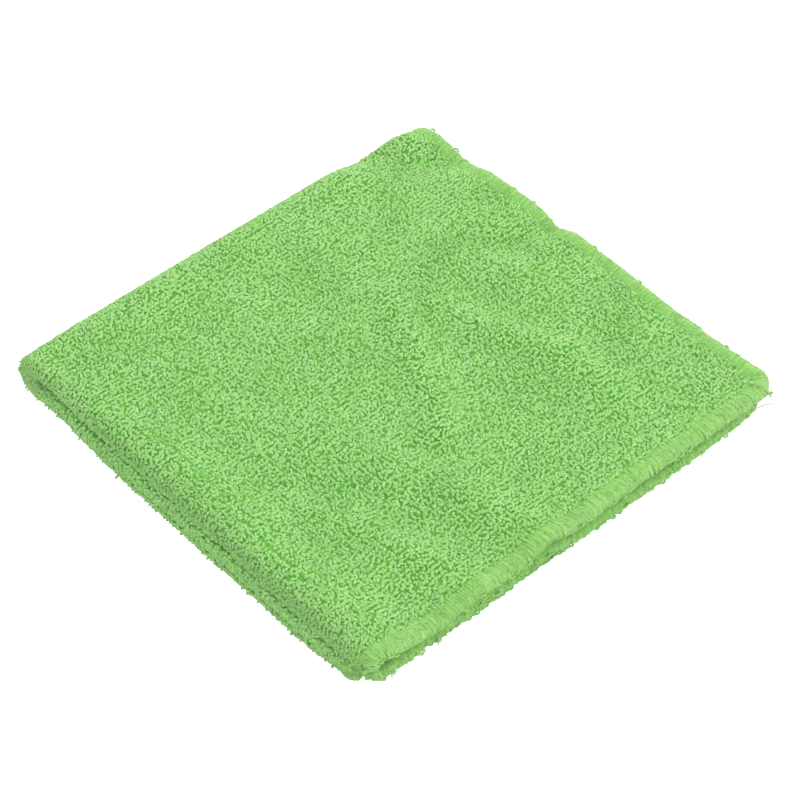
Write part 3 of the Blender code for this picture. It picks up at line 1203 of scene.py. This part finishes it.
class TERRY_OT_sewing(bpy.types.Operator):
    """Overlocks the hems"""

    bl_idname = "terry.sewing"
    bl_label = "Sew the hems"

    def execute(self, context):
        scene = context.scene
        sizes, ground, colours = scene.terry_sewing, scene.terry_ground, scene.terry_colours
        draw = Random(sizes.seed)
        forms = form_set("stitch", [stitch(form, sizes, ground) for form in STITCHES])
        # The stitches' ends take the root's painted shade where they go into the hem.
        tones = colours.root, colours.sewing_dark, colours.sewing_light
        material = yarn_material("sewing thread", *tones)
        shares = [form[3] for form in STITCHES]
        for name, spots in hem_lines():
            layout = Layout(f"sewing_{name}")
            for at, facing, out in walk(spots, sizes.pitch, ground.hem_thickness / 2):
                # Painted shade: below the top layer the sewing takes only the darker tones.
                painted_light = 1.0 if at.z > FOLDED_TOP else SHADED_SEWING
                size = scattered(draw, (0.03, 0.08, 0.03), (1.0, 1.05, 1.0))
                tone = painted_light * (0.3 * draw.random() + 0.7 * draw.random())
                form = draw.choices(range(len(STITCHES)), weights=shares)[0]
                layout.add(at, facing, out, size, tone, form)
            layout.make(forms, material)
        drop_forms(forms)
        self.add_scallops(sizes, material, draw)
        self.add_fibres(ground, material, draw)
        self.add_thread_end(colours)
        return {"FINISHED"}

    def add_scallops(self, sizes, material, draw):
        """Locks the stitches with loops of thread along the very edge of each hem."""
        forms = loop_set("scallop", SCALLOPS, sizes.thread * SCALLOP_THREAD, 4, 5)
        layout = Layout("hem_scallops")
        for name, at, facing, out in walk_hems(SCALLOP_PITCH):
            if name in ("upper_x", "outer_y") and draw.random() < SCALLOPS_LEFT_OUT:
                continue
            co = at + facing * draw.uniform(-0.8, 0.8)
            size = (1.0, 1.0, draw.gauss(1.0, 0.2))
            tone, form = draw.uniform(0.5, 1.0), draw.randrange(len(SCALLOPS))
            layout.add(co, out, facing.cross(out), size, tone, form)
        layout.make(forms, material)
        drop_forms(forms)

    def add_fibres(self, ground, material, draw):
        """Scatters fine curled fibres over the sewing, and pulls a few tufts out of it."""
        forms = loop_set("fibre", FIBRES, FIBRE, 3, 3)
        layout = Layout("hem_fibres")
        for _name, at, facing, out in walk_hems(FIBRE_PITCH):
            side = draw.choice((-1, 1))
            if draw.random() < FIBRES_ON_EDGE:
                up, co = out, at + facing * draw.uniform(-0.7, 0.7)
            else:
                up = facing * side
                inward = draw.uniform(0.8, ground.hem_width + 0.5)
                co = at - out * inward + up * (ground.hem_thickness / 2 + 0.1)
            nap = scattered(draw, (1, 1, 1))
            size = scattered(draw, (0.2, 0.2, 0.2), (1, 1, 1))
            layout.add(co, up, nap, size, draw.random(), draw.randrange(len(FIBRES)))
        for spot in TUFTS:
            for _ in range(TUFT_FIBRES):
                at = Vector(spot) + Vector((draw.gauss(0, 0.3), draw.gauss(0, 0.4), 0.0))
                nap = scattered(draw, (1, 1, 1))
                up = Vector((1.0, draw.gauss(0, 0.5), draw.gauss(-0.2, 0.4))).normalized()
                size = [draw.uniform(1.0, 1.6)] * 3
                layout.add(at, up, nap, size, draw.random(), draw.randrange(len(FIBRES)))
        layout.make(forms, material)
        drop_forms(forms)

    def add_thread_end(self, colours):
        """Lets the end of a thread stand out from the open corner."""
        path = [(Vector(point), 1.0) for point in THREAD_END[:-1]]
        path.append((Vector(THREAD_END[-1]), THREAD_TIP))
        bm = bmesh.new()
        tube(bm, path, Vector((0, 0, 1)), THREAD_END_WIDTH, THREAD_END_WIDTH, 6)
        bmesh.ops.holes_fill(bm, edges=bm.edges, sides=6)
        material = yarn_material("loose thread", *[colours.thread] * 3)
        place("thread_end", bm, material)


class TERRY_OT_stage(bpy.types.Operator):
    """Sets the floor, the light and the camera"""

    bl_idname = "terry.stage"
    bl_label = "Set the stage"

    def execute(self, context):
        scene, stage = context.scene, context.scene.terry_stage
        bm = bmesh.new()
        bmesh.ops.create_grid(bm, x_segments=1, y_segments=1, size=FLOOR_REACH)
        floor = new_object("floor", mesh_of("floor", bm))
        floor.data.materials.append(self.floor_material(stage))

        world = bpy.data.worlds.new("studio")
        world.use_nodes = True
        white = {"Color": (1.0, 1.0, 1.0, 1.0), "Strength": SKY_LIGHT}
        feed(world.node_tree.nodes["Background"], white)
        scene.world = world
        for name, at, size, power in LAMPS:
            light = bpy.data.lights.new(name, "AREA")
            light.size = size
            light.energy = power
            self.aim(new_object(name, light), Vector(at), Vector(at))

        level = cos(stage.elevation)
        turn, rise = stage.azimuth, sin(stage.elevation)
        back = Vector((sin(turn) * level, -cos(turn) * level, rise))
        view = bpy.data.cameras.new("camera")
        view.sensor_width = SENSOR
        view.lens = stage.lens
        view.clip_start = 0.01
        scene.camera = new_object("camera", view)
        self.aim(scene.camera, Vector(stage.aim) + back * stage.distance, back)
        scene.view_settings.view_transform = "Standard"
        return {"FINISHED"}

    def floor_material(self, stage):
        """Looks white to the camera, whatever falls on it, and lights the cloth from below."""
        material = bpy.data.materials.new("floor")
        material.use_nodes = True
        tree = material.node_tree
        seen = output(tree, "ShaderNodeLightPath", name="Is Camera Ray")
        limits = {"Value": seen, "To Min": stage.glow, "To Max": 1.0}
        surface = {
            "Base Color": (*stage.floor, 1.0),
            "Roughness": 0.9,
            "Specular IOR Level": 0.0,
            "Emission Color": (1.0, 1.0, 1.0, 1.0),
            "Emission Strength": output(tree, "ShaderNodeMapRange", limits),
        }
        feed(tree.nodes["Principled BSDF"], surface)
        return material

    def aim(self, ob, at, back):
        """Places a lamp or a camera, with this direction behind it."""
        ob.location = at
        ob.rotation_mode = "QUATERNION"
        ob.rotation_quaternion = back.to_track_quat("Z", "Y")


class TERRY_PT_panel(bpy.types.Panel):
    """Lists the cloth's pieces and their sizes"""

    bl_label = "Terry cloth"
    bl_idname = "TERRY_PT_panel"
    bl_space_type = "VIEW_3D"
    bl_region_type = "UI"
    bl_category = "Terry cloth"

    def draw(self, context):
        for operator in OPERATORS:
            self.layout.operator(operator.bl_idname)
        for name in GROUPS:
            group = getattr(context.scene, name)
            for prop in group.__annotations__:
                self.layout.prop(group, prop)


GROUPS = {
    "terry_colours": ClothColours,
    "terry_ground": GroundSizes,
    "terry_pile": PileSizes,
    "terry_sewing": SewingSizes,
    "terry_stage": StageSettings,
}
OPERATORS = (TERRY_OT_ground, TERRY_OT_pile, TERRY_OT_sewing, TERRY_OT_stage)


def register():
    for cls in (*GROUPS.values(), *OPERATORS, TERRY_PT_panel):
        bpy.utils.register_class(cls)
    for name, cls in GROUPS.items():
        setattr(bpy.types.Scene, name, PointerProperty(type=cls))


def unregister():
    for name in GROUPS:
        delattr(bpy.types.Scene, name)
    for cls in reversed((*GROUPS.values(), *OPERATORS, TERRY_PT_panel)):
        bpy.utils.unregister_class(cls)


def main():
    register()
    bpy.ops.terry.ground()
    bpy.ops.terry.pile()
    bpy.ops.terry.sewing()
    bpy.ops.terry.stage()


if __name__ == "__main__":
    main()
